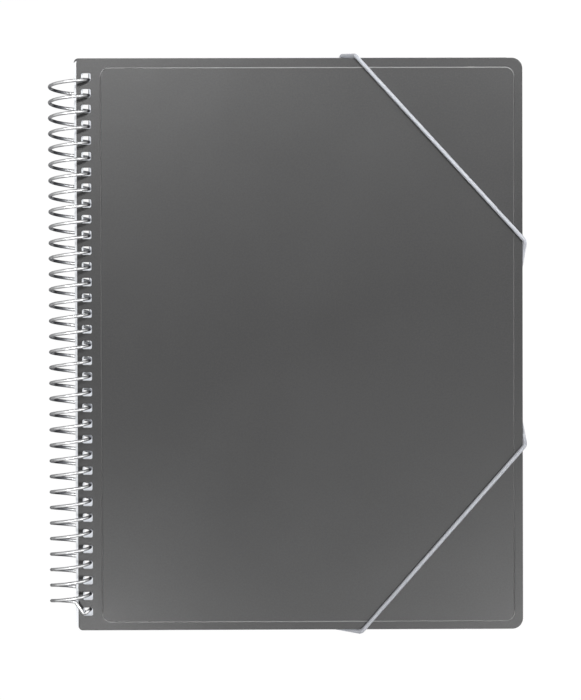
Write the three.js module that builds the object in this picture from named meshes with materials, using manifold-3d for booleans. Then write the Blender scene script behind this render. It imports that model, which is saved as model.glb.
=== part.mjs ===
import * as THREE from "three";
import { mergeVertices } from "three/addons/utils/BufferGeometryUtils.js";
import Module from "manifold-3d";

const wasm = await Module();
wasm.setup();

// A display book lying closed on a table. Lengths are in mm.
// X runs from the spine to the fore edge, Y up the page and Z up from the table.
const touchGap = 0.3; // between pieces that lie on each other

// Covers
const coverWidth = 240;
const coverHeight = 308;
const coverThickness = 0.9;
const spineCornerRadius = 2.3;
const foreCornerRadius = 5.8;

// Line pressed into the outer face of each cover
const lineEdgeInset = 4.2; // from the top, bottom and fore edges
const lineSpineInset = 13; // from the spine edge
const lineWidth = 0.7;
const lineDepth = 0.15;
const lineCornerRadius = 4.5;

// Row of punched holes along the spine edge
const holePitch = 25.4 / 3;
const holeEndMargin = 10; // least from the top and bottom edges to the middle of a hole
const holeWidth = 5.3;
const holeHeight = 5;
const holeChamfer = 0.6;
const coverHoleMargin = 2.5; // from the spine edge of a cover to its holes

// Stack of clear pocket sheets
const pocketForeInset = 7.2; // from the covers' fore edge
const pocketEndInset = 1.4; // from the covers' top and bottom edges
const pocketStack = 7.9;
const pocketLip = 1.2; // how far the sheets stand out past the spine edge of the covers
const pocketCornerRadius = 1.5;
const pocketSteps = 4;

// Wire spiral
const wireDiameter = 1.6;
const coilRadius = 10.7; // to the middle of the wire
const coilPitch = 8.39;
const coilStepsPerTurn = 16;
const coilStartAngle = -80; // degrees, below the back cover at the first hole
const coilEndAngle = 21; // degrees, above the front cover at the last hole
const backCoverPlay = 1.4; // how far the back cover slides on the wire to the fore edge

// Bent end of the wire: first leg to the spine, second leg back up between the turns
const bentFirstLeg = [-3.1, -1.7, 0.4];
const bentSecondLeg = [-4.1, 6.4, 1.4];
const bentSteps = 8;

// Elastic bands across the fore corners
const bandDiameter = 1.86;
const bandRise = 0.64; // clear height under the bands
const upperBandAcross = 89; // from the fore edge to where it crosses the top edge
const upperBandDown = 97.4; // from the top edge to where it crosses the fore edge
const lowerBandAcross = 86.4;
const lowerBandUp = 98;
const upperTopLean = 0.55; // along the edge for each mm down the book's side
const upperForeLean = 1.7;
const lowerBottomLean = 1.5;
const lowerForeLean = 1.5;
const rearLean = 0.3; // along the edge for each mm in under the back cover
const anchorInset = 12; // from the back cover's edge to a band's hole
const bendSteps = 4;

// Flat metal clip on each end of a band, inside the back cover
const clipLength = 12;
const clipWidth = 3.2;
const clipThickness = 0.6;

// As many holes as the covers have room for
const holeCount = Math.floor((coverHeight - 2 * holeEndMargin) / holePitch) + 1;

// Levels over the table
const wireRadius = wireDiameter / 2;
const bandRadius = bandDiameter / 2;
const coilAxisZ = coilRadius + wireRadius;
const backCoverZ = bandRise + bandDiameter + touchGap;
const clipZ = backCoverZ + coverThickness + touchGap;
const pocketZ = clipZ + clipThickness + touchGap;
const frontCoverZ = pocketZ + pocketStack + touchGap;
const frontFaceZ = frontCoverZ + coverThickness;

// The wire stands just inside the far end of the front cover's holes
const coilAxisX = coverHoleMargin + holeWidth - touchGap - wireRadius - coilRadius;

// Where the wire passes through the level z: its angle round the coil axis
function wireAngleAt(z) {
  return Math.asin((z - coilAxisZ) / coilRadius);
}

const frontMiddleZ = frontCoverZ + coverThickness / 2;
const backMiddleZ = backCoverZ + coverThickness / 2;
const frontAngle = wireAngleAt(frontMiddleZ);

// A layer at the level z follows the wire: its offset from the front cover
function layerOffset(z) {
  const angle = wireAngleAt(z);
  const depth = (frontMiddleZ - z) / (frontMiddleZ - backMiddleZ);
  const x = coilRadius * (Math.cos(angle) - Math.cos(frontAngle)) + backCoverPlay * depth;
  const y = (coilPitch * (frontAngle - angle)) / (2 * Math.PI);
  return new THREE.Vector2(x, y);
}

const backOffset = layerOffset(backMiddleZ);

// Materials
const coverMaterial = new THREE.MeshStandardMaterial({ color: "#58585a", roughness: 0.45, metalness: 0 });
const pocketMaterial = new THREE.MeshStandardMaterial({ color: "#e6e9ec", roughness: 0.25, metalness: 0 });
const wireMaterial = new THREE.MeshStandardMaterial({ color: "#c4c6c8", roughness: 0.2, metalness: 1 });
const bandMaterial = new THREE.MeshStandardMaterial({ color: "#c8cbd7", roughness: 0.8, metalness: 0 });
const clipMaterial = new THREE.MeshStandardMaterial({ color: "#b4b6b9", roughness: 0.35, metalness: 1 });

// Solids for cutting, from closed geometries and back
function solidOf(geometry) {
  const bare = geometry.clone();
  bare.deleteAttribute("normal");
  bare.deleteAttribute("uv");
  const merged = mergeVertices(bare, 1e-4);
  const vertProperties = merged.attributes.position.array;
  const triVerts = new Uint32Array(merged.index.array);
  return new wasm.Manifold(new wasm.Mesh({ numProp: 3, vertProperties, triVerts }));
}

function geometryOf(solid) {
  const { vertProperties, triVerts } = solid.getMesh();
  const geometry = new THREE.BufferGeometry();
  geometry.setAttribute("position", new THREE.BufferAttribute(vertProperties, 3));
  geometry.setIndex(new THREE.BufferAttribute(triVerts, 1));
  geometry.computeVertexNormals();
  return geometry;
}

function meshOf(name, geometry, material) {
  const mesh = new THREE.Mesh(geometry, material);
  mesh.name = name;
  return mesh;
}

// Outlines
// A rounded rectangle from left to right, with one radius at the spine and one at the fore edge.
function roundedRectangle(path, left, right, height, spineRadius, foreRadius) {
  const quarter = Math.PI / 2;
  const low = -height / 2;
  const high = height / 2;
  path.absarc(right - foreRadius, low + foreRadius, foreRadius, -quarter, 0);
  path.absarc(right - foreRadius, high - foreRadius, foreRadius, 0, quarter);
  path.absarc(left + spineRadius, high - spineRadius, spineRadius, quarter, 2 * quarter);
  path.absarc(left + spineRadius, low + spineRadius, spineRadius, 2 * quarter, 3 * quarter);
  return path;
}

// The row of holes, the nearest side of each at margin.
function punchedHoles(margin) {
  const w = holeWidth / 2;
  const h = holeHeight / 2;
  const corners = [
    [w, h - holeChamfer],
    [w - holeChamfer, h],
    [holeChamfer - w, h],
    [-w, h - holeChamfer],
    [-w, holeChamfer - h],
    [holeChamfer - w, -h],
    [w - holeChamfer, -h],
    [w, holeChamfer - h],
  ];
  const holes = [];
  for (let k = 0; k < holeCount; k += 1) {
    const y = ((holeCount - 1) / 2 - k) * holePitch;
    const points = corners.map(([px, py]) => new THREE.Vector2(margin + w + px, y + py));
    holes.push(new THREE.Path().setFromPoints(points).closePath());
  }
  return holes;
}

// A path through given points, with its sections at the points themselves.
class PointPath extends THREE.Curve {
  constructor(points) {
    super();
    this.points = points;
    this.steps = points.length - 1;
  }
  getUtoTmapping(u) {
    return u;
  }
  getPoint(t, target = new THREE.Vector3()) {
    const place = t * this.steps;
    const first = Math.min(Math.floor(place), this.steps - 1);
    return target.lerpVectors(this.points[first], this.points[first + 1], place - first);
  }
  getTangent(t, target = new THREE.Vector3()) {
    const at = Math.round(t * this.steps);
    const here = this.points[at];
    const before = this.points[Math.max(at - 1, 0)];
    const after = this.points[Math.min(at + 1, this.steps)];
    const arriving = here.clone().sub(before).normalize();
    const leaving = after.clone().sub(here).normalize();
    return target.addVectors(arriving, leaving).normalize();
  }
}

function rod(points, radius, sides) {
  const section = new THREE.Shape();
  for (let k = 0; k < sides; k += 1) {
    const angle = (2 * Math.PI * k) / sides;
    const move = k === 0 ? "moveTo" : "lineTo";
    section[move](radius * Math.cos(angle), radius * Math.sin(angle));
  }
  const path = new PointPath(points);
  return new THREE.ExtrudeGeometry(section, {
    steps: path.steps,
    extrudePath: path,
    bevelEnabled: false,
  });
}

// Covers
function pressedLine(bottom) {
  const half = lineWidth / 2;
  const left = lineSpineInset;
  const right = coverWidth - lineEdgeInset;
  const height = coverHeight - 2 * lineEdgeInset;
  const ring = (path, grow) => {
    const radius = lineCornerRadius + grow;
    return roundedRectangle(path, left - grow, right + grow, height + 2 * grow, radius, radius);
  };
  const outline = ring(new THREE.Shape(), half);
  outline.holes.push(ring(new THREE.Path(), -half));
  const line = new THREE.ExtrudeGeometry(outline, {
    depth: lineDepth + touchGap,
    bevelEnabled: false,
    curveSegments: 3,
  });
  return line.translate(0, 0, bottom);
}

function coverPlate(lineBottom, bandHoles) {
  const outline = roundedRectangle(
    new THREE.Shape(), 0, coverWidth, coverHeight, spineCornerRadius, foreCornerRadius,
  );
  outline.holes.push(...punchedHoles(coverHoleMargin));
  for (const { x, y } of bandHoles) {
    outline.holes.push(new THREE.Path().absarc(x, y, bandRadius + touchGap, 0, 2 * Math.PI));
  }
  const plate = new THREE.ExtrudeGeometry(outline, {
    depth: coverThickness,
    bevelEnabled: false,
    curveSegments: 4,
  });
  return geometryOf(solidOf(plate).subtract(solidOf(pressedLine(lineBottom))));
}

// Pocket sheets, each layer where the wire passes through it
function pocketBlock() {
  const outline = roundedRectangle(
    new THREE.Shape(), -pocketLip, coverWidth - pocketForeInset, coverHeight - 2 * pocketEndInset,
    pocketCornerRadius, pocketCornerRadius,
  );
  outline.holes.push(...punchedHoles(coverHoleMargin));
  const block = new THREE.ExtrudeGeometry(outline, {
    depth: pocketStack,
    steps: pocketSteps,
    bevelEnabled: false,
    curveSegments: 2,
  });
  const position = block.attributes.position;
  for (let i = 0; i < position.count; i += 1) {
    const offset = layerOffset(pocketZ + position.getZ(i));
    position.setXY(i, position.getX(i) + offset.x, position.getY(i) + offset.y);
  }
  return block;
}

// Wire spiral
// A point of the helix; the angle grows by a full turn from each hole to the next one down.
function helixPoint(angle) {
  return new THREE.Vector3(
    coilAxisX + coilRadius * Math.cos(angle),
    (-coilPitch * (angle - frontAngle)) / (2 * Math.PI),
    coilAxisZ + coilRadius * Math.sin(angle),
  );
}

function wireSpiral() {
  const halfTurns = (holeCount - 1) * Math.PI;
  const start = THREE.MathUtils.degToRad(coilStartAngle) - halfTurns;
  const end = THREE.MathUtils.degToRad(coilEndAngle) + halfTurns;
  const steps = Math.round(((end - start) * coilStepsPerTurn) / (2 * Math.PI));
  const points = [];
  for (let k = 0; k <= steps; k += 1) {
    points.push(helixPoint(start + ((end - start) * k) / steps));
  }
  const knee = points[steps].clone().add(new THREE.Vector3(...bentFirstLeg));
  const tip = knee.clone().add(new THREE.Vector3(...bentSecondLeg));
  const middle = knee.clone().lerp(tip, 0.5);
  const bentEnd = new THREE.CatmullRomCurve3([points[steps], knee, middle, tip]);
  points.push(...bentEnd.getSpacedPoints(bentSteps).slice(1));
  return rod(points, wireRadius, 6);
}

// Elastic bands
// One end of a band, from the front face round an edge to its hole in the back cover.
// Along counts away from the corner, out counts out from the front cover's edge,
// slope is how far the band goes along for each mm that it goes out on the front face,
// and lean is how far it goes along for each mm down the side of the book.
function bandEnd(along, slope, lean, backEdge) {
  const reach = bandRadius + touchGap;
  const height = frontFaceZ - backCoverZ;
  const sideRun = Math.hypot(height, backEdge);
  const sideAngle = Math.atan2(height, backEdge);
  const firstBend = reach * sideAngle;
  const lastBend = reach * (Math.PI - sideAngle);
  const points = [];
  for (let k = 0; k <= bendSteps; k += 1) {
    const angle = (sideAngle * k) / bendSteps;
    const run = reach * angle;
    const shift = slope * run + ((lean - slope) * run * run) / (2 * firstBend);
    points.push([along + shift, reach * Math.sin(angle), frontFaceZ + reach * Math.cos(angle)]);
  }
  const lowAlong = along + ((slope + lean) / 2) * firstBend + lean * sideRun;
  for (let k = 0; k <= bendSteps; k += 1) {
    const run = (lastBend * k) / bendSteps;
    const angle = sideAngle + run / reach;
    const shift = lean * run + ((rearLean - lean) * run * run) / (2 * lastBend);
    const out = backEdge + reach * Math.sin(angle);
    points.push([lowAlong + shift, out, backCoverZ + reach * Math.cos(angle)]);
  }
  const share = 1 / Math.hypot(rearLean, 1);
  const rearRun = anchorInset - reach * share;
  const rearZ = backCoverZ - reach;
  const bendAlong = lowAlong + ((lean + rearLean) / 2) * lastBend + rearLean * rearRun;
  const bendOut = backEdge - rearRun;
  for (let k = 0; k <= bendSteps; k += 1) {
    const angle = (Math.PI * k) / (2 * bendSteps);
    const ahead = reach * Math.sin(angle) * share;
    const rise = reach * (1 - Math.cos(angle));
    points.push([bendAlong + rearLean * ahead, bendOut - ahead, rearZ + rise]);
  }
  const [holeAlong, holeOut] = points[points.length - 1];
  points.push([holeAlong, holeOut, backCoverZ + coverThickness]);
  return points;
}

// A band from its hole by the top or bottom edge to its hole by the fore edge.
// The side is 1 at the top of the book and -1 at the bottom.
function bandRoute(across, down, endLean, foreLean, side) {
  const endEdge = side * (coverHeight / 2);
  const byEnd = bandEnd(across, across / down, endLean, side * backOffset.y).map(
    ([along, out, z]) => new THREE.Vector3(coverWidth - along, endEdge + side * out, z),
  );
  const byFore = bandEnd(down, down / across, foreLean, backOffset.x).map(
    ([along, out, z]) => new THREE.Vector3(coverWidth + out, endEdge - side * along, z),
  );
  return [...byEnd.reverse(), ...byFore];
}

const upperRoute = bandRoute(upperBandAcross, upperBandDown, upperTopLean, upperForeLean, 1);
const lowerRoute = bandRoute(lowerBandAcross, lowerBandUp, lowerBottomLean, lowerForeLean, -1);
const holeOf = (point) => ({ x: point.x - backOffset.x, y: point.y - backOffset.y });
const bandHoles = [upperRoute, lowerRoute].flatMap((route) => [holeOf(route[0]), holeOf(route.at(-1))]);

function clip(name, place, alongX) {
  const length = alongX ? clipLength : clipWidth;
  const width = alongX ? clipWidth : clipLength;
  const mesh = meshOf(name, new THREE.BoxGeometry(length, width, clipThickness), clipMaterial);
  mesh.position.set(place.x, place.y, clipZ + clipThickness / 2);
  return mesh;
}

// The book
const book = new THREE.Group();

const frontCover = meshOf("front_cover", coverPlate(coverThickness - lineDepth, []), coverMaterial);
frontCover.position.set(0, 0, frontCoverZ);
const backCover = meshOf("back_cover", coverPlate(-touchGap, bandHoles), coverMaterial);
backCover.position.set(backOffset.x, backOffset.y, backCoverZ);
const pockets = meshOf("pocket_sheets", pocketBlock(), pocketMaterial);
pockets.position.set(0, 0, pocketZ);

book.add(frontCover, backCover, pockets);
book.add(meshOf("wire_spiral", wireSpiral(), wireMaterial));
book.add(meshOf("upper_band", rod(upperRoute, bandRadius, 8), bandMaterial));
book.add(meshOf("lower_band", rod(lowerRoute, bandRadius, 8), bandMaterial));
book.add(clip("upper_band_top_clip", upperRoute[0], true));
book.add(clip("upper_band_side_clip", upperRoute.at(-1), false));
book.add(clip("lower_band_bottom_clip", lowerRoute[0], true));
book.add(clip("lower_band_side_clip", lowerRoute.at(-1), false));

// The origin is under the middle of the book's box, on the table
const leftMost = coilAxisX - coilRadius - wireRadius;
const bandReach = touchGap + bandDiameter;
const rightMost = coverWidth + bandReach;
const topMost = coverHeight / 2 + backOffset.y + bandReach;
const bottomMost = -coverHeight / 2 - bandReach;
book.position.set(-(leftMost + rightMost) / 2, -(topMost + bottomMost) / 2, 0);

const part = new THREE.Group();
part.add(book);

export default part;
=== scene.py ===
import math
import random

import bmesh
import bpy
from mathutils import Matrix, Vector


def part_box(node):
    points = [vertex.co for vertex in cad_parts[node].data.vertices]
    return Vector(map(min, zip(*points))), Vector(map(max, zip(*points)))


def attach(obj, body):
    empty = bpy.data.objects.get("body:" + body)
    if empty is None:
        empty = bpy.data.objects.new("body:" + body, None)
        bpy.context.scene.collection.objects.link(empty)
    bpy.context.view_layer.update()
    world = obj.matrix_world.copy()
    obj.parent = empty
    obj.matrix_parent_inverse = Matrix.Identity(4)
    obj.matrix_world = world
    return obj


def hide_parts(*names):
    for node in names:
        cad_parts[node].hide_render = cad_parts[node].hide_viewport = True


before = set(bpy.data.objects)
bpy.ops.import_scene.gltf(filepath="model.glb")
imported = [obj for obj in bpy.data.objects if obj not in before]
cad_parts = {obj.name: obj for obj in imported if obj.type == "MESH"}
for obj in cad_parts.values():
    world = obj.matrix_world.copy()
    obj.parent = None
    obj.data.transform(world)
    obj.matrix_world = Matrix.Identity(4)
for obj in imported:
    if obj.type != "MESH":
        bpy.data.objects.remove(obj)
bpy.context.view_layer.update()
mm = 0.001
print("frame loaded")

# Where the book stands in the frame: x from its spine edge, y from its middle line
coverLow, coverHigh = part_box("front_cover")
backLow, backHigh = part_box("back_cover")
sheetsLow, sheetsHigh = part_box("pocket_sheets")
bookStart = Vector((coverLow.x, (coverLow.y + coverHigh.y) / 2, 0))
coverWidth = (coverHigh.x - coverLow.x) / mm
coverHeight = (coverHigh.y - coverLow.y) / mm


def inBook(x, y, z):
    return bookStart + Vector((x, y, z)) * mm


# Camera, looking straight down
cameraLook = {
    "place": (-0.00515, 0.01178, 1.1),
    "turn": (-0.01426, -0.00611, -0.00290),
    "lens": 103.67,
}
cameraData = bpy.data.cameras.new("camera")
cameraData.lens = cameraLook["lens"]
cameraData.sensor_width = 36
camera = bpy.data.objects.new("camera", cameraData)
camera.location = cameraLook["place"]
camera.rotation_euler = cameraLook["turn"]
bpy.context.scene.collection.objects.link(camera)
bpy.context.scene.camera = camera


# Modelling helpers
def deselectAll():
    if bpy.context.object and bpy.context.object.mode != "OBJECT":
        bpy.ops.object.mode_set(mode="OBJECT")
    bpy.ops.object.select_all(action="DESELECT")


def selectOnly(*things):
    deselectAll()
    for thing in things:
        thing.select_set(True)
    bpy.context.view_layer.objects.active = things[0]


def boxAt(name, low, high):
    deselectAll()
    bpy.ops.mesh.primitive_cube_add(size=1, location=(low + high) / 2, scale=high - low)
    thing = bpy.context.object
    thing.name = name
    bpy.ops.object.transform_apply(location=True, rotation=True, scale=True)
    return thing


def pick(thing, kind, wanted):
    selectOnly(thing)
    bpy.ops.object.mode_set(mode="EDIT")
    bpy.ops.mesh.select_mode(type=kind)
    bpy.ops.mesh.select_all(action="DESELECT")
    mesh = bmesh.from_edit_mesh(thing.data)
    for element in mesh.edges if kind == "EDGE" else mesh.faces:
        element.select_set(wanted(element))
    bmesh.update_edit_mesh(thing.data)


def upright(edge):
    a, b = edge.verts
    return (a.co - b.co).xy.length < 1e-7


def roundCorners(thing, radius, steps, wanted=lambda edge: True):
    pick(thing, "EDGE", lambda edge: upright(edge) and wanted(edge))
    bpy.ops.mesh.bevel(offset=radius * mm, offset_type="OFFSET", segments=steps, affect="EDGES")
    bpy.ops.object.mode_set(mode="OBJECT")


def copyOf(thing, shift):
    copied = thing.copy()
    copied.data = thing.data.copy()
    copied.data.transform(Matrix.Translation(shift))
    bpy.context.scene.collection.objects.link(copied)
    return copied


def joined(name, things):
    selectOnly(*things)
    bpy.ops.object.join()
    whole = bpy.context.object
    whole.name = name
    return whole


def turnFacesOut(thing):
    selectOnly(thing)
    bpy.ops.object.mode_set(mode="EDIT")
    bpy.ops.mesh.select_all(action="SELECT")
    bpy.ops.mesh.normals_make_consistent(inside=False)
    bpy.ops.object.mode_set(mode="OBJECT")


def carve(thing, cutter):
    cut = thing.modifiers.new("cut", "BOOLEAN")
    cut.object = cutter
    cut.solver = "EXACT"
    selectOnly(thing)
    bpy.ops.object.modifier_apply(modifier=cut.name)
    bpy.data.objects.remove(cutter)


def softenEdges(thing, width, steps, sharpness=60):
    bevel = thing.modifiers.new("soften", "BEVEL")
    bevel.width = width * mm
    bevel.segments = steps
    bevel.limit_method = "ANGLE"
    bevel.angle_limit = math.radians(sharpness)
    selectOnly(thing)
    bpy.ops.object.modifier_apply(modifier=bevel.name)


def smoothFaces(thing, angle=35):
    selectOnly(thing)
    bpy.ops.object.shade_smooth_by_angle(angle=math.radians(angle))
    weighted = thing.modifiers.new("even", "WEIGHTED_NORMAL")
    weighted.keep_sharp = True
    bpy.ops.object.modifier_apply(modifier=weighted.name)


# The row of punched holes
holesLook = {
    "count": 35,
    "pitch": 25.4 / 3,
    "width": 5.3,
    "height": 4.5,
    "cornerRadius": 0.9,
    "margin": 2.5,  # from the spine edge
    "cutPast": 1.0,  # how far the cutters stand past a face
}


def holeCutters(offset, low, high, cornerSteps):
    x = holesLook["margin"] + offset[0]
    half = holesLook["height"] / 2
    top = (holesLook["count"] - 1) / 2 * holesLook["pitch"]
    first = boxAt(
        "holeCutter",
        inBook(x, top + offset[1] - half, low),
        inBook(x + holesLook["width"], top + offset[1] + half, high),
    )
    roundCorners(first, holesLook["cornerRadius"], cornerSteps)
    down = Vector((0, -holesLook["pitch"] * mm, 0))
    copies = [copyOf(first, down * k) for k in range(1, holesLook["count"])]
    return joined("holeCutters", [first, *copies])


# The wire spiral's route, which the sheets and the covers follow
wireLook = {
    "radius": 0.86,
    "coilRadius": 10.63,
    "pitch": 8.39,
    "axisX": -4.0,
    "axisZ": 11.5,
    "startAngle": -80,
    "endAngle": 21,
    "firstLeg": (-3.1, -1.7, 0.4),
    "secondLeg": (-4.1, 6.4, 1.4),
    "stepsPerTurn": 44,
    "sides": 14,
    "kneeSpring": 0.75,  # share of the first leg that bends
    "kneeStart": 1.6,
    "kneeEnd": 1.1,
    "kneeSteps": 14,
    "tipSteps": 8,
    "endTaper": 0.82,
}
frontMiddle = (coverLow.z + coverHigh.z) / 2 / mm
backMiddle = (backLow.z + backHigh.z) / 2 / mm
backPlay = 1.4  # the back cover slides this far to the fore edge


def wireAngleAt(z):
    return math.asin((z - wireLook["axisZ"]) / wireLook["coilRadius"])


frontAngle = wireAngleAt(frontMiddle)


def layerOffset(z):
    angle = wireAngleAt(z)
    depth = (frontMiddle - z) / (frontMiddle - backMiddle)
    x = wireLook["coilRadius"] * (math.cos(angle) - math.cos(frontAngle)) + backPlay * depth
    return x, wireLook["pitch"] * (frontAngle - angle) / math.tau


def helixPoint(angle):
    return Vector(
        (
            wireLook["axisX"] + wireLook["coilRadius"] * math.cos(angle),
            -wireLook["pitch"] * (angle - frontAngle) / math.tau,
            wireLook["axisZ"] + wireLook["coilRadius"] * math.sin(angle),
        )
    )


# Covers
coversLook = {
    "spineRadius": 2.3,
    "foreRadius": 5.8,
    "lineTopInset": 5.1,
    "lineForeInset": 4.7,
    "lineBottomInset": 4.4,
    "lineSpineInset": 13.0,
    "lineRadius": 4.5,
    "lineTubeRadius": 0.483,  # a rod that sinks 0.15 mm into the face leaves a 0.7 mm line
    "lineRise": 0.333,
    "edgeSoftness": 0.26,
    "punchedSoftness": 0.06,
    "bandHoleRadius": 1.25,
    "bandHoleSides": 24,
    "bandHoleCut": 4.0,  # length of the rod that cuts them
}


def lineCutter(left, right, low, high, level):
    deselectAll()
    middle = inBook((left + right) / 2, (low + high) / 2, level)
    bpy.ops.mesh.primitive_plane_add(size=1, location=middle)
    outline = bpy.context.object
    bpy.ops.transform.resize(value=((right - left) * mm, (high - low) * mm, 1))
    bpy.ops.object.transform_apply(location=True, rotation=True, scale=True)
    bpy.ops.object.mode_set(mode="EDIT")
    bpy.ops.mesh.select_all(action="SELECT")
    bpy.ops.mesh.bevel(offset=coversLook["lineRadius"] * mm, segments=10, affect="VERTICES")
    bpy.ops.mesh.select_all(action="SELECT")
    bpy.ops.mesh.delete(type="ONLY_FACE")
    bpy.ops.object.mode_set(mode="OBJECT")
    bpy.ops.object.convert(target="CURVE")
    outline.data.bevel_depth = coversLook["lineTubeRadius"] * mm
    outline.data.bevel_resolution = 6
    bpy.ops.object.convert(target="MESH")
    outline = bpy.context.object
    turnFacesOut(outline)
    return outline


def coverPiece(name, low, high, faceUp, bandHoles):
    plate = boxAt(name, low, high)
    middle = (low.x + high.x) / 2
    roundCorners(plate, coversLook["spineRadius"], 6, lambda edge: edge.verts[0].co.x < middle)
    roundCorners(plate, coversLook["foreRadius"], 12, lambda edge: edge.verts[0].co.x > middle)
    shift = (low.x - coverLow.x) / mm, (low.y - coverLow.y) / mm
    bottom, top = low.z / mm, high.z / mm
    level = top + coversLook["lineRise"] if faceUp else bottom - coversLook["lineRise"]
    line = lineCutter(
        coversLook["lineSpineInset"] + shift[0],
        coverWidth - coversLook["lineForeInset"] + shift[0],
        -coverHeight / 2 + coversLook["lineBottomInset"] + shift[1],
        coverHeight / 2 - coversLook["lineTopInset"] + shift[1],
        level,
    )
    carve(plate, line)
    softenEdges(plate, coversLook["edgeSoftness"], 3)
    carve(plate, holeCutters(shift, bottom - holesLook["cutPast"], top + holesLook["cutPast"], 4))
    for place in bandHoles:
        deselectAll()
        bpy.ops.mesh.primitive_cylinder_add(
            vertices=coversLook["bandHoleSides"],
            radius=coversLook["bandHoleRadius"] * mm,
            depth=coversLook["bandHoleCut"] * mm,
            location=place,
        )
        carve(plate, bpy.context.object)
    softenEdges(plate, coversLook["punchedSoftness"], 2)
    smoothFaces(plate)
    return plate


# Elastic bands: the same way round the edges as the solids
bandsLook = {
    "radius": 1.13,
    "gap": 0.05,
    "anchorInset": 12.0,
    "upper": {"across": 89.0, "down": 97.4, "endLean": 0.55, "foreLean": 1.7},
    "lower": {"across": 86.4, "down": 98.0, "endLean": 1.5, "foreLean": 1.5},
    "rearLean": 0.3,
    "strands": 6,  # in each direction
    "lead": 6.2,  # length of one turn of a strand
    "relief": 0.13,
    "strandFlank": 3.2,  # how steeply a strand falls off to its sides
    "weave": 0.28,  # how far the strands rise and dip over each other
    "step": 0.17,
    "sides": 26,
    "bendSteps": 10,
    "endRise": 0.25,  # how far an end stands above the back cover's inner face
}
frontFace = coverHigh.z / mm
backBottom = backLow.z / mm
backTop = backHigh.z / mm
backOffset = (backLow.x - coverLow.x) / mm, (backLow.y - coverLow.y) / mm


def bandEnd(along, slope, lean, backEdge):
    reach = bandsLook["radius"] + bandsLook["gap"]
    rear = bandsLook["rearLean"]
    height = frontFace - backBottom
    sideRun = math.hypot(height, backEdge)
    sideAngle = math.atan2(height, backEdge)
    firstBend = reach * sideAngle
    lastBend = reach * (math.pi - sideAngle)
    share = 1 / math.hypot(rear, 1)
    points = []
    steps = bandsLook["bendSteps"]
    for k in range(steps + 1):
        angle = sideAngle * k / steps
        run = reach * angle
        shift = slope * run + (lean - slope) * run * run / (2 * firstBend)
        points.append((along + shift, reach * math.sin(angle), frontFace + reach * math.cos(angle)))
    lowAlong = along + (slope + lean) / 2 * firstBend + lean * sideRun
    for k in range(steps + 1):
        run = lastBend * k / steps
        angle = sideAngle + run / reach
        shift = lean * run + (rear - lean) * run * run / (2 * lastBend)
        out = backEdge + reach * math.sin(angle)
        points.append((lowAlong + shift, out, backBottom + reach * math.cos(angle)))
    rearRun = bandsLook["anchorInset"] - reach * share
    bendAlong = lowAlong + (lean + rear) / 2 * lastBend + rear * rearRun
    bendOut = backEdge - rearRun
    for k in range(steps + 1):
        angle = math.pi / 2 * k / steps
        ahead = reach * math.sin(angle) * share
        rise = reach * (1 - math.cos(angle))
        points.append((bendAlong + rear * ahead, bendOut - ahead, backBottom - reach + rise))
    points.append((points[-1][0], points[-1][1], backTop + bandsLook["endRise"]))
    return points


def bandRoute(shape, side):
    across, down = shape["across"], shape["down"]
    endEdge = side * coverHeight / 2
    byEnd = [
        Vector((coverWidth - along, endEdge + side * out, z))
        for along, out, z in bandEnd(across, across / down, shape["endLean"], side * backOffset[1])
    ]
    byFore = [
        Vector((coverWidth + out, endEdge - side * along, z))
        for along, out, z in bandEnd(down, down / across, shape["foreLean"], backOffset[0])
    ]
    return byEnd[::-1] + byFore


upperRoute = bandRoute(bandsLook["upper"], 1)
lowerRoute = bandRoute(bandsLook["lower"], -1)


def evenly(route, step):
    lengths = [0.0]
    for a, b in zip(route, route[1:]):
        lengths.append(lengths[-1] + (b - a).length)
    count = max(2, round(lengths[-1] / step))
    spaced = []
    k = 0
    for n in range(count + 1):
        at = lengths[-1] * n / count
        while k < len(route) - 2 and lengths[k + 1] < at:
            k += 1
        part = (at - lengths[k]) / max(lengths[k + 1] - lengths[k], 1e-9)
        spaced.append(route[k].lerp(route[k + 1], part))
    return spaced, lengths[-1]


def tubeAlong(name, points, sides, radiusAt):
    rings = len(points) - 1
    deselectAll()
    bpy.ops.mesh.primitive_grid_add(x_subdivisions=sides, y_subdivisions=rings, size=1)
    tube = bpy.context.object
    tube.name = name
    ways = []
    for k in range(rings + 1):
        ways.append((points[min(k + 1, rings)] - points[max(k - 1, 0)]).normalized())
    aside = ways[0].orthogonal().normalized()
    frames = []
    for way in ways:
        aside = (aside - way * aside.dot(way)).normalized()
        frames.append((aside.copy(), way.cross(aside)))
    for vertex in tube.data.vertices:
        ring = round((vertex.co.y + 0.5) * rings)
        turn = vertex.co.x + 0.5
        across, over = frames[ring]
        angle = turn * math.tau
        spoke = across * math.cos(angle) + over * math.sin(angle)
        place = points[ring] + spoke * radiusAt(turn, ring / rings)
        vertex.co = inBook(*place)
    bpy.ops.object.mode_set(mode="EDIT")
    bpy.ops.mesh.select_all(action="SELECT")
    bpy.ops.mesh.remove_doubles(threshold=1e-6)
    bpy.ops.mesh.fill_holes(sides=0)
    bpy.ops.mesh.select_all(action="SELECT")
    bpy.ops.mesh.normals_make_consistent(inside=False)
    bpy.ops.object.mode_set(mode="OBJECT")
    bpy.ops.object.transform_apply(location=True, rotation=True, scale=True)
    bpy.ops.object.shade_smooth_by_angle(angle=math.radians(50))
    return tube


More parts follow.
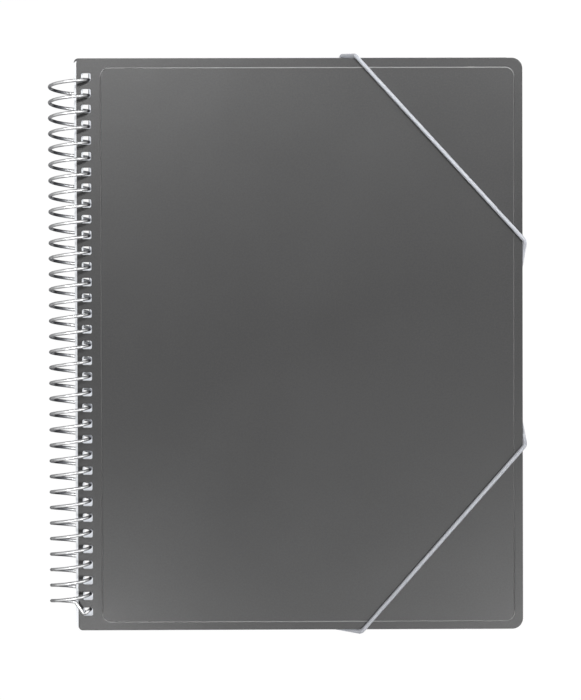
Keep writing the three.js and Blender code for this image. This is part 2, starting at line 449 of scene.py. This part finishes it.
def braidedBand(name, route):
    points, length = evenly(route, bandsLook["step"])
    turns = length / bandsLook["lead"]
    strands = bandsLook["strands"]
    weave = bandsLook["weave"]

    def hump(across):
        return math.sqrt(max(0, 1 - bandsLook["strandFlank"] * across * across))

    def radiusAt(turn, share):
        twist = turns * share
        over = math.cos(math.tau * strands * twist)
        right = (strands * (turn - twist)) % 1 - 0.5
        left = (strands * (turn + twist)) % 1 - 0.5
        rightHump = hump(right) * (1 - weave + weave * over)
        leftHump = hump(left) * (1 - weave - weave * over)
        return bandsLook["radius"] + bandsLook["relief"] * (max(rightHump, leftHump) - 1)

    band = tubeAlong(name, points, bandsLook["sides"], radiusAt)
    band["turns"] = turns
    return band


# Materials
class Link:
    def __init__(self, look, socket):
        self.look = look
        self.socket = socket

    def math(self, operation, *others):
        sockets = dict(enumerate([self, *others]))
        return self.look.add("ShaderNodeMath", {"operation": operation}, sockets)

    def part(self, axis):
        return self.look.add("ShaderNodeSeparateXYZ", {}, {0: self}, out=axis)

    def __add__(self, other):
        return self.math("ADD", other)

    def __radd__(self, other):
        return self.math("ADD", other)

    def __mul__(self, other):
        return self.math("MULTIPLY", other)

    def __rmul__(self, other):
        return self.math("MULTIPLY", other)

    def __sub__(self, other):
        return self.math("SUBTRACT", other)

    def __rsub__(self, other):
        return (self * -1).math("ADD", other)


class Look:
    def __init__(self, name, owner=None):
        self.material = owner or bpy.data.materials.new(name)
        self.material.use_nodes = True
        self.tree = self.material.node_tree
        self.tree.nodes.clear()
        output = "ShaderNodeOutputWorld" if owner else "ShaderNodeOutputMaterial"
        self.output = self.tree.nodes.new(output)

    def add(self, kind, settings=None, sockets=None, out=0):
        node = self.tree.nodes.new(kind)
        for key, value in (settings or {}).items():
            if key == "stops":
                ramp = node.color_ramp
                for k, (place, shade) in enumerate(value):
                    stop = ramp.elements[k] if k < 2 else ramp.elements.new(place)
                    stop.position = place
                    stop.color = (shade, shade, shade, 1)
            else:
                setattr(node, key, value)
        for key, value in (sockets or {}).items():
            self.feed(node.inputs[key], value)
        return Link(self, node.outputs[out])

    def feed(self, socket, value):
        if isinstance(value, Link):
            self.tree.links.new(value.socket, socket)
        else:
            socket.default_value = value

    def rays(self, kind):
        return self.add("ShaderNodeLightPath", out=kind)

    def place(self, **mapping):
        where = self.add("ShaderNodeTexCoord", out="Object")
        if not mapping:
            return where
        sockets = {key.capitalize(): value for key, value in mapping.items()}
        return self.add("ShaderNodeMapping", {}, {"Vector": where, **sockets})

    def noise(self, scale, detail=2.0, vector=None, roughness=0.5):
        where = vector or self.place()
        sockets = {"Scale": scale, "Detail": detail, "Roughness": roughness, "Vector": where}
        return self.add("ShaderNodeTexNoise", {}, sockets)

    def ramp(self, value, *stops):
        return self.add("ShaderNodeValToRGB", {"stops": stops}, {0: value})

    def between(self, value, full, none):
        return self.ramp((value - full) * (1 / (none - full)), (0, 1), (1, 0))

    def mix(self, share, first, second):
        return self.add("ShaderNodeMix", {"data_type": "RGBA"}, {0: share, 6: first, 7: second}, out=2)

    def bump(self, height, distance, strength=1.0, under=None):
        sockets = {"Height": height, "Distance": distance, "Strength": strength}
        if under:
            sockets["Normal"] = under
        return self.add("ShaderNodeBump", {}, sockets)

    def surface(self, **sockets):
        named = {key.replace("_", " "): value for key, value in sockets.items()}
        shader = self.add("ShaderNodeBsdfPrincipled", {}, named)
        self.feed(self.output.inputs["Surface"], shader)
        return self.material


def colour(red, green, blue):
    return (red, green, blue, 1)


coverFinish = {
    "shade": colour(0.041, 0.041, 0.0415),
    "paleShade": colour(0.051, 0.051, 0.0515),
    "cloudScale": 11,
    "speckScale": 1150,
    "speckShare": 0.55,
    # painted highlight: a pale tint on the pressed line for the light it catches
    "pressedHighlight": colour(0.42, 0.42, 0.421),
    "pressedDepths": (0.022, 0.09, 0.18, 0.24),  # mm below the face: from, full, still full, to
    "pressedHighlightFrom": (coverHeight / 2 - 7.5, coverHeight / 2 - 10.5),  # painted highlight, full at the top and bottom runs, where the line catches the light
    "pressedHighlightSides": 0.2,
    "pressedHighlightFront": 0.72,
    "pressedHighlightBack": 0.5,
    "grainScale": 3100,
    "grainDepth": 0.03,
    "waveScale": 22,
    "waveDepth": 0.35,
    "roughness": 0.3,
    "roughnessSpread": 0.06,
    "shine": 0.32,
}


def coverMaterial(name, faceLevel, faceUp):
    finish = coverFinish
    look = Look(name)
    specks = look.noise(finish["speckScale"], 3) * finish["speckShare"]
    mottling = look.noise(finish["cloudScale"], 4) * (1 - finish["speckShare"]) + specks
    pale = look.ramp(mottling, (0.4, 0), (0.6, 1))
    shade = look.mix(pale, finish["shade"], finish["paleShade"])
    height = look.place().part("Z")
    sunk = (faceLevel - height if faceUp else height - faceLevel) * (1 / mm)
    # painted highlight: the pressed line is tinted pale, fully on its top and bottom runs, a little
    # along its sides
    lineHighlight = look.ramp(sunk, *zip(finish["pressedDepths"], (0, 1, 1, 0)))
    fromMiddle = (look.place().part("Y") - bookStart.y).math("ABSOLUTE") * (1 / mm)
    sides = finish["pressedHighlightSides"]
    lineHighlight = lineHighlight * (look.between(fromMiddle, *finish["pressedHighlightFrom"]) * (1 - sides) + sides)
    strength = finish["pressedHighlightFront"] if faceUp else finish["pressedHighlightBack"]
    shade = look.mix(lineHighlight * strength, shade, finish["pressedHighlight"])
    roughness = finish["roughness"] + (look.noise(30, 3) - 0.5) * finish["roughnessSpread"]
    waves = look.bump(look.noise(finish["waveScale"], 1), finish["waveDepth"] * mm, 0.5)
    relief = look.bump(look.noise(finish["grainScale"], 2), finish["grainDepth"] * mm, 0.55, waves)
    return look.surface(
        Base_Color=shade,
        Roughness=roughness,
        Normal=relief,
        IOR=1.49,
        Specular_IOR_Level=finish["shine"],
    )


filmFinish = {
    "shade": colour(0.47, 0.48, 0.495),
    "paleShade": colour(0.54, 0.547, 0.555),
    "seamShade": colour(0.2, 0.21, 0.225),
    "seamHeights": (0.06, 0.072, 0.09, 0.105),  # mm up a sheet: from, full, still full, to
    "seamStrength": 0.75,
    "drawnScale": (160, 5, 40),
    "drawnDepth": 0.05,
    "rippleScale": 34,
    "rippleDepth": 0.5,
    "roughness": 0.2,
    "roughnessSpread": 0.14,
    "coat": 0.3,
    "paintedGlowShade": colour(0.93, 0.955, 1.0),  # painted light: the film glows in this colour to stand for light that comes through the stack
    # painted light: how strongly the film glows
    "glow": 0.38,
}


def filmMaterial():
    finish = filmFinish
    look = Look("pocketFilm")
    cloud = look.ramp(look.noise(26, 3), (0.3, 0), (0.7, 1))
    shade = look.mix(cloud, finish["shade"], finish["paleShade"])
    fromFirst = (look.place().part("Z") - sheetsLow.z) * (1 / sheetPitch)
    inSheet = fromFirst.math("FRACT") * (sheetPitch / mm)
    flat = look.add("ShaderNodeTexCoord", out="Normal").part("Z").math("ABSOLUTE")
    seam = look.ramp(inSheet, *zip(finish["seamHeights"], (0, 1, 1, 0)))
    seam = seam * look.ramp(flat, (0.7, 0), (0.9, 1))
    shade = look.mix(seam * finish["seamStrength"], shade, finish["seamShade"])
    drawn = look.noise(1, 3, look.place(scale=finish["drawnScale"]))
    ripples = look.bump(look.noise(finish["rippleScale"], 2), finish["rippleDepth"] * mm, 0.5)
    relief = look.bump(drawn, finish["drawnDepth"] * mm, 0.4, ripples)
    roughness = finish["roughness"] + look.noise(60, 2) * finish["roughnessSpread"]
    return look.surface(
        Base_Color=shade,
        Roughness=roughness,
        Normal=relief,
        IOR=1.5,
        Coat_Weight=finish["coat"],
        Coat_Roughness=0.08,
        # painted light: an emission that stands for light coming through the stack
        Emission_Color=finish["paintedGlowShade"],
        Emission_Strength=finish["glow"],
    )


wireFinish = {
    "shade": colour(0.76, 0.765, 0.775),
    "paleShade": colour(0.86, 0.865, 0.87),
    # painted shade: a dark colour put on the wire where it runs low under the coil and where it dives
    # into the holes
    "paintedShade": colour(0.17, 0.17, 0.18),
    "paintedShadeHeight": (7.0, 9.5),  # painted reflection and shade under the coil's middle, where the low run reflects the dark spine
    "paintedShadeReach": (-9.5, -2.0),  # on its outer side
    "holeShadeHeight": (14.2, 13.2),  # painted shade above the holes
    "holeShadeReach": (6.5, 5.7),  # where the wire goes down through them
    "streakScale": (34, 240, 1),
    "streakDepth": 0.012,
    "metallic": 0.85,
    "roughness": 0.22,
    "roughnessSpread": 0.14,
}


def wireMaterial():
    finish = wireFinish
    look = Look("platedWire")
    around = look.add("ShaderNodeTexCoord", out="UV")
    drawn = look.add("ShaderNodeMapping", {}, {"Vector": around, "Scale": finish["streakScale"]})
    streaks = look.noise(1, 3, drawn, 0.6)
    tone = look.ramp(look.noise(420, 3), (0.35, 0), (0.7, 1))
    shade = look.mix(tone, finish["shade"], finish["paleShade"])
    reach = (look.place().part("X") - bookStart.x) * (1 / mm)
    height = look.place().part("Z") * (1 / mm)
    # painted shade and reflection: the low outer run and the wire over the holes are darkened
    under = look.between(height, *finish["paintedShadeHeight"]) * look.between(reach, *finish["paintedShadeReach"])
    holeShade = look.between(height, *finish["holeShadeHeight"]) * look.between(reach, *finish["holeShadeReach"])
    shade = look.mix(under + holeShade, shade, finish["paintedShade"])
    roughness = finish["roughness"] + streaks * finish["roughnessSpread"]
    relief = look.bump(streaks, finish["streakDepth"] * mm, 0.5)
    return look.surface(
        Base_Color=shade,
        Metallic=finish["metallic"],
        Roughness=roughness,
        Normal=relief,
        Specular_Tint=colour(0.2, 0.2, 0.22),
    )


bandFinish = {
    "shade": colour(0.62, 0.635, 0.685),
    # painted shade: a darker colour in the grooves between the strands
    "paintedGrooveShade": colour(0.27, 0.28, 0.315),
    "fuzzShade": colour(0.66, 0.675, 0.71),
    "grooveShadowStrength": 0.8,
    "threadsInStrand": 5,
    "threadDepth": 0.03,
    "fuzzScale": 5200,
    "roughness": 0.72,
    "sheen": 0.25,
}


def bandMaterial(name, turns):
    finish = bandFinish
    look = Look(name)
    around = look.add("ShaderNodeTexCoord", out="UV")
    turn, share = around.part("X"), around.part("Y")
    strands = bandsLook["strands"]
    right = (turn * strands - share * (turns * strands)).math("FRACT") - 0.5
    left = (turn * strands + share * (turns * strands)).math("FRACT") - 0.5
    groove = right.math("ABSOLUTE").math("MINIMUM", left.math("ABSOLUTE"))
    # painted shade: darker in the grooves between the strands
    dark = look.ramp(groove, (0.2, 0), (0.46, 1))
    perTurn = strands * finish["threadsInStrand"] * math.tau
    threads = (turn * perTurn - share * (turns * perTurn)).math("SINE")
    fuzz = look.noise(finish["fuzzScale"], 2)
    shade = look.mix(dark * finish["grooveShadowStrength"], finish["shade"], finish["paintedGrooveShade"])
    shade = look.mix(look.ramp(fuzz, (0.3, 0), (0.75, 0.25)), shade, finish["fuzzShade"])
    relief = look.bump(threads * 0.5 + fuzz, finish["threadDepth"] * mm, 0.6)
    return look.surface(
        Base_Color=shade,
        Roughness=finish["roughness"],
        Normal=relief,
        Sheen_Weight=finish["sheen"],
        Sheen_Roughness=0.5,
    )


clipFinish = {
    "shade": colour(0.46, 0.47, 0.49),
    "paleShade": colour(0.58, 0.59, 0.6),
    "brushScale": (2600, 160, 900),
    "brushDepth": 0.02,
    "roughness": 0.3,
    "roughnessSpread": 0.12,
}


def clipMaterial():
    look = Look("clipMetal")
    brushed = look.noise(1, 3, look.place(scale=clipFinish["brushScale"]))
    pale = look.ramp(brushed, (0.3, 0), (0.7, 1))
    tone = look.mix(pale, clipFinish["shade"], clipFinish["paleShade"])
    relief = look.bump(brushed, clipFinish["brushDepth"] * mm, 0.5)
    roughness = clipFinish["roughness"] + brushed * clipFinish["roughnessSpread"]
    return look.surface(Base_Color=tone, Metallic=1.0, Roughness=roughness, Normal=relief)


def dress(thing, material, body, slot, *nodes):
    thing.data.materials.clear()
    thing.data.materials.append(material)
    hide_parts(*nodes)
    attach(thing, body)


# Build the covers
frontCover = coverPiece("frontCoverSheet", coverLow, coverHigh, True, [])
dress(frontCover, coverMaterial("coverFront", coverHigh.z, True), "front", "cover", "front_cover")
bandEnds = (upperRoute[0], upperRoute[-1], lowerRoute[0], lowerRoute[-1])
anchors = [inBook(point.x, point.y, (backBottom + backTop) / 2) for point in bandEnds]
backCover = coverPiece("backCoverSheet", backLow, backHigh, False, anchors)
dress(backCover, coverMaterial("coverBack", backLow.z, False), "back", "cover", "back_cover")
print("covers made")


# Build the pocket sheets
sheetsLook = {
    "count": 40,
    "thickness": 0.13,
    "lip": 1.2,
    "foreInset": 7.2,
    "endInset": 1.4,
    "cornerRadius": 1.5,
    "weldWidth": 1.3,
    "weldInset": 3.4,
    "weldSpine": 11.0,
    "weldDepth": 0.05,
    "spread": 0.16,
    "groups": 4,
    "lowHoleShift": -0.9,  # the lowest sheets are punched a little nearer to the spine
}
sheetPitch = (sheetsHigh.z - sheetsLow.z - sheetsLook["thickness"] * mm) / (sheetsLook["count"] - 1)


def pocketSheet(holeShift):
    top = sheetsLook["thickness"]
    left = -sheetsLook["lip"]
    right = coverWidth - sheetsLook["foreInset"]
    half = coverHeight / 2 - sheetsLook["endInset"]
    sheet = boxAt("pocketSheets", inBook(left, -half, 0), inBook(right, half, top))
    roundCorners(sheet, sheetsLook["cornerRadius"], 3)
    inset, width = sheetsLook["weldInset"], sheetsLook["weldWidth"]
    weldLeft = sheetsLook["weldSpine"]
    xs = [weldLeft, weldLeft + width, right - inset - width, right - inset]
    ys = [-half + inset, -half + inset + width, half - inset]
    pick(sheet, "FACE", lambda face: True)
    for x in xs:
        bpy.ops.mesh.select_all(action="SELECT")
        bpy.ops.mesh.bisect(plane_co=inBook(x, 0, 0), plane_no=(1, 0, 0))
    for y in ys:
        bpy.ops.mesh.select_all(action="SELECT")
        bpy.ops.mesh.bisect(plane_co=inBook(0, y, 0), plane_no=(0, 1, 0))
    bpy.ops.object.mode_set(mode="OBJECT")

    def welded(face):
        middle = (face.calc_center_median() - bookStart) / mm
        if face.normal.z < 0.5 or not ys[0] < middle.y < ys[2] or not xs[0] < middle.x < xs[3]:
            return False
        return middle.x < xs[1] or middle.x > xs[2] or middle.y < ys[1]

    pick(sheet, "FACE", welded)
    bpy.ops.mesh.extrude_region_move(
        TRANSFORM_OT_translate={"value": (0, 0, -sheetsLook["weldDepth"] * mm)}
    )
    bpy.ops.object.mode_set(mode="OBJECT")
    carve(sheet, holeCutters((holeShift, 0), -holesLook["cutPast"], holesLook["cutPast"], 2))
    return sheet


def sheetStack():
    random.seed(7)
    low = sheetsLow.z / mm
    count, groups = sheetsLook["count"], sheetsLook["groups"]
    pitch = sheetPitch / mm
    copies = []
    for group in range(groups):
        first = pocketSheet(sheetsLook["lowHoleShift"] * (1 - group / (groups - 1)))
        for k in range(group * count // groups, (group + 1) * count // groups):
            z = low + pitch * k
            x, y = layerOffset(z + sheetsLook["thickness"] / 2)
            x += random.uniform(-1, 1) * sheetsLook["spread"]
            y += random.uniform(-1, 1) * sheetsLook["spread"]
            copies.append(copyOf(first, Vector((x, y, z)) * mm))
        bpy.data.objects.remove(first)
    return joined("pocketSheets", copies)


sheets = sheetStack()
selectOnly(sheets)
bpy.ops.object.shade_flat()
dress(sheets, filmMaterial(), "pockets", "pockets", "pocket_sheets")
print("pocket sheets made")


# Build the wire spiral
def wirePiece():
    halfTurns = (holesLook["count"] - 1) * math.pi
    start = math.radians(wireLook["startAngle"]) - halfTurns
    end = math.radians(wireLook["endAngle"]) + halfTurns
    steps = round((end - start) * wireLook["stepsPerTurn"] / math.tau)
    points = [helixPoint(start + (end - start) * k / steps) for k in range(steps + 1)]
    onward = (points[-1] - points[-2]).normalized()
    firstLeg = Vector(wireLook["firstLeg"])
    knee = points[-1] + firstLeg
    tip = knee + Vector(wireLook["secondLeg"])
    back = (tip - knee).normalized()
    a = points[-1]
    b = a + onward * (firstLeg.length * wireLook["kneeSpring"])
    c = knee - back * wireLook["kneeStart"]
    d = knee + back * wireLook["kneeEnd"]
    for k in range(1, wireLook["kneeSteps"] + 1):
        t = k / wireLook["kneeSteps"]
        u = 1 - t
        points.append(a * u**3 + b * 3 * u * u * t + c * 3 * u * t * t + d * t**3)
    last = points[-1]
    for k in range(1, wireLook["tipSteps"] + 1):
        points.append(last.lerp(tip, k / wireLook["tipSteps"]))
    total = len(points) - 1

    def radiusAt(turn, share):
        fromEnd = min(share, 1 - share) * total
        return wireLook["radius"] * (wireLook["endTaper"] if fromEnd < 0.5 else 1)

    return tubeAlong("wireSpiral", points, wireLook["sides"], radiusAt)


wire = wirePiece()
dress(wire, wireMaterial(), "back", "wire", "wire_spiral")
print("wire made")


# Build the elastic bands and their clips
for name, route, node in (
    ("upperBandCord", upperRoute, "upper_band"),
    ("lowerBandCord", lowerRoute, "lower_band"),
):
    band = braidedBand(name, route)
    dress(band, bandMaterial(name + "Braid", band["turns"]), "back", "band", node)
print("bands made")

clipsLook = {
    "cornerRadius": 1.1,
    "edge": 0.12,
    "sleeve": 3.0,
    "sleeveInset": 0.35,
    "sleeveRise": 0.2,
}
clipMetal = clipMaterial()
for name, node in (
    ("upperBandTopTag", "upper_band_top_clip"),
    ("upperBandSideTag", "upper_band_side_clip"),
    ("lowerBandBottomTag", "lower_band_bottom_clip"),
    ("lowerBandSideTag", "lower_band_side_clip"),
):
    low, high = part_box(node)
    tag = boxAt(name, Vector((low.x, low.y, backHigh.z)), high)
    roundCorners(tag, clipsLook["cornerRadius"], 5)
    middle = (low + high) / 2
    alongX = high.x - low.x > high.y - low.y
    way = Vector((1, 0, 0)) if alongX else Vector((0, 1, 0))
    reach = clipsLook["sleeve"] / 2 * mm
    pick(tag, "FACE", lambda face: True)
    for side in (-1, 1):
        bpy.ops.mesh.select_all(action="SELECT")
        bpy.ops.mesh.bisect(plane_co=middle + way * reach * side, plane_no=way)
    bpy.ops.object.mode_set(mode="OBJECT")

    def onSleeve(face):
        along = (face.calc_center_median() - middle).dot(way)
        return face.normal.z > 0.5 and abs(along) < reach

    pick(tag, "FACE", onSleeve)
    bpy.ops.mesh.inset(thickness=clipsLook["sleeveInset"] * mm)
    bpy.ops.mesh.extrude_region_move(
        TRANSFORM_OT_translate={"value": (0, 0, clipsLook["sleeveRise"] * mm)}
    )
    bpy.ops.object.mode_set(mode="OBJECT")
    softenEdges(tag, clipsLook["edge"], 3, 40)
    smoothFaces(tag)
    dress(tag, clipMetal, "back", "clip", node)
print("clips made")


# Floor
floorLook = {
    "size": 6.0,
    "paper": colour(0.45, 0.45, 0.45),
    "glow": 1.09,
    "shadowShare": 0.1,  # how much of the paper under the glow the camera sees
}
deselectAll()
bpy.ops.mesh.primitive_plane_add(size=floorLook["size"], location=(0, 0, 0))
floor = bpy.context.object
floor.name = "floor"
look = Look("paleFloor")
shown = look.rays("Is Camera Ray").math("MAXIMUM", look.rays("Is Transmission Ray"))
paper = look.add("ShaderNodeBsdfDiffuse", {}, {"Color": floorLook["paper"]})
glow = look.add("ShaderNodeEmission", {}, {"Color": colour(1, 1, 1), "Strength": floorLook["glow"]})
glowShare = shown * (1 - floorLook["shadowShare"])
both = look.add("ShaderNodeMixShader", {}, {0: glowShare, 1: paper, 2: glow})
look.feed(look.output.inputs["Surface"], both)
floor.data.materials.append(look.material)


# Studio light
lampsLook = (
    {
        "name": "topLeftLamp",
        "place": (-0.24, 0.43, 1.25),
        "aim": (-0.07, 0.13, 0),
        "size": (0.45, 0.2),
        "power": 0.225,
    },
    {
        "name": "topRightLamp",
        "place": (0.48, 0.58, 1.15),
        "aim": (0.11, 0.21, 0),
        "size": (0.4, 0.2),
        "power": 0.52,
    },
    {
        "name": "bottomLeftLamp",
        "place": (-0.28, -0.45, 1.25),
        "aim": (-0.07, -0.13, 0),
        "size": (0.34, 0.2),
        "power": 0.178,
    },
    {
        "name": "bottomRightLamp",
        "place": (0.34, -0.43, 1.25),
        "aim": (0.07, -0.13, 0),
        "size": (0.34, 0.2),
        "power": 0.158,
    },
    {
        "name": "sideLamp",
        "place": (1.2, 0.0, 0.5),
        "aim": (0, 0, 0),
        "size": (0.3, 1.1),
        "power": 0.32,
    },
)
lampSpread = 32
worldLook = {
    "fill": 0.1,
    "horizon": 0.04,  # dark all round, which outlines the wire
    "horizonEnd": 0.4,
    "skyStart": 0.7,
    "side": 0.8,  # pale walls on the spine's and the fore edge's side
    "sideStart": 0.25,
    "sideEnd": 0.75,
}
for settings in lampsLook:
    lampData = bpy.data.lights.new(settings["name"], "AREA")
    lampData.shape = "RECTANGLE"
    lampData.size, lampData.size_y = settings["size"]
    lampData.energy = settings["power"]
    lampData.spread = math.radians(lampSpread)
    lamp = bpy.data.objects.new(settings["name"], lampData)
    lamp.location = settings["place"]
    way = Vector(settings["aim"]) - Vector(settings["place"])
    lamp.rotation_euler = way.to_track_quat("-Z", "Y").to_euler()
    bpy.context.scene.collection.objects.link(lamp)

world = bpy.data.worlds.new("studio")
bpy.context.scene.world = world
air = Look("studio", world)
seen, glossy = air.rays("Is Camera Ray"), air.rays("Is Glossy Ray")
direction = air.add("ShaderNodeTexCoord", out="Generated")
sideways = direction.part("X").math("ABSOLUTE")
darkEnd = (worldLook["horizonEnd"], worldLook["horizon"])
horizon = air.ramp(direction.part("Z"), darkEnd, (worldLook["skyStart"], 1))
sideWalls = air.ramp(sideways, (worldLook["sideStart"], 0), (worldLook["sideEnd"], worldLook["side"]))
unseen = (1 - seen) * (1 - glossy)
level = seen + glossy * horizon.math("MAXIMUM", sideWalls) + unseen * worldLook["fill"]
sky = air.add("ShaderNodeBackground", {}, {"Color": colour(1, 1, 1), "Strength": level})
air.feed(air.output.inputs["Surface"], sky)

bpy.context.scene.view_settings.view_transform = "Standard"
print("light and floor made")
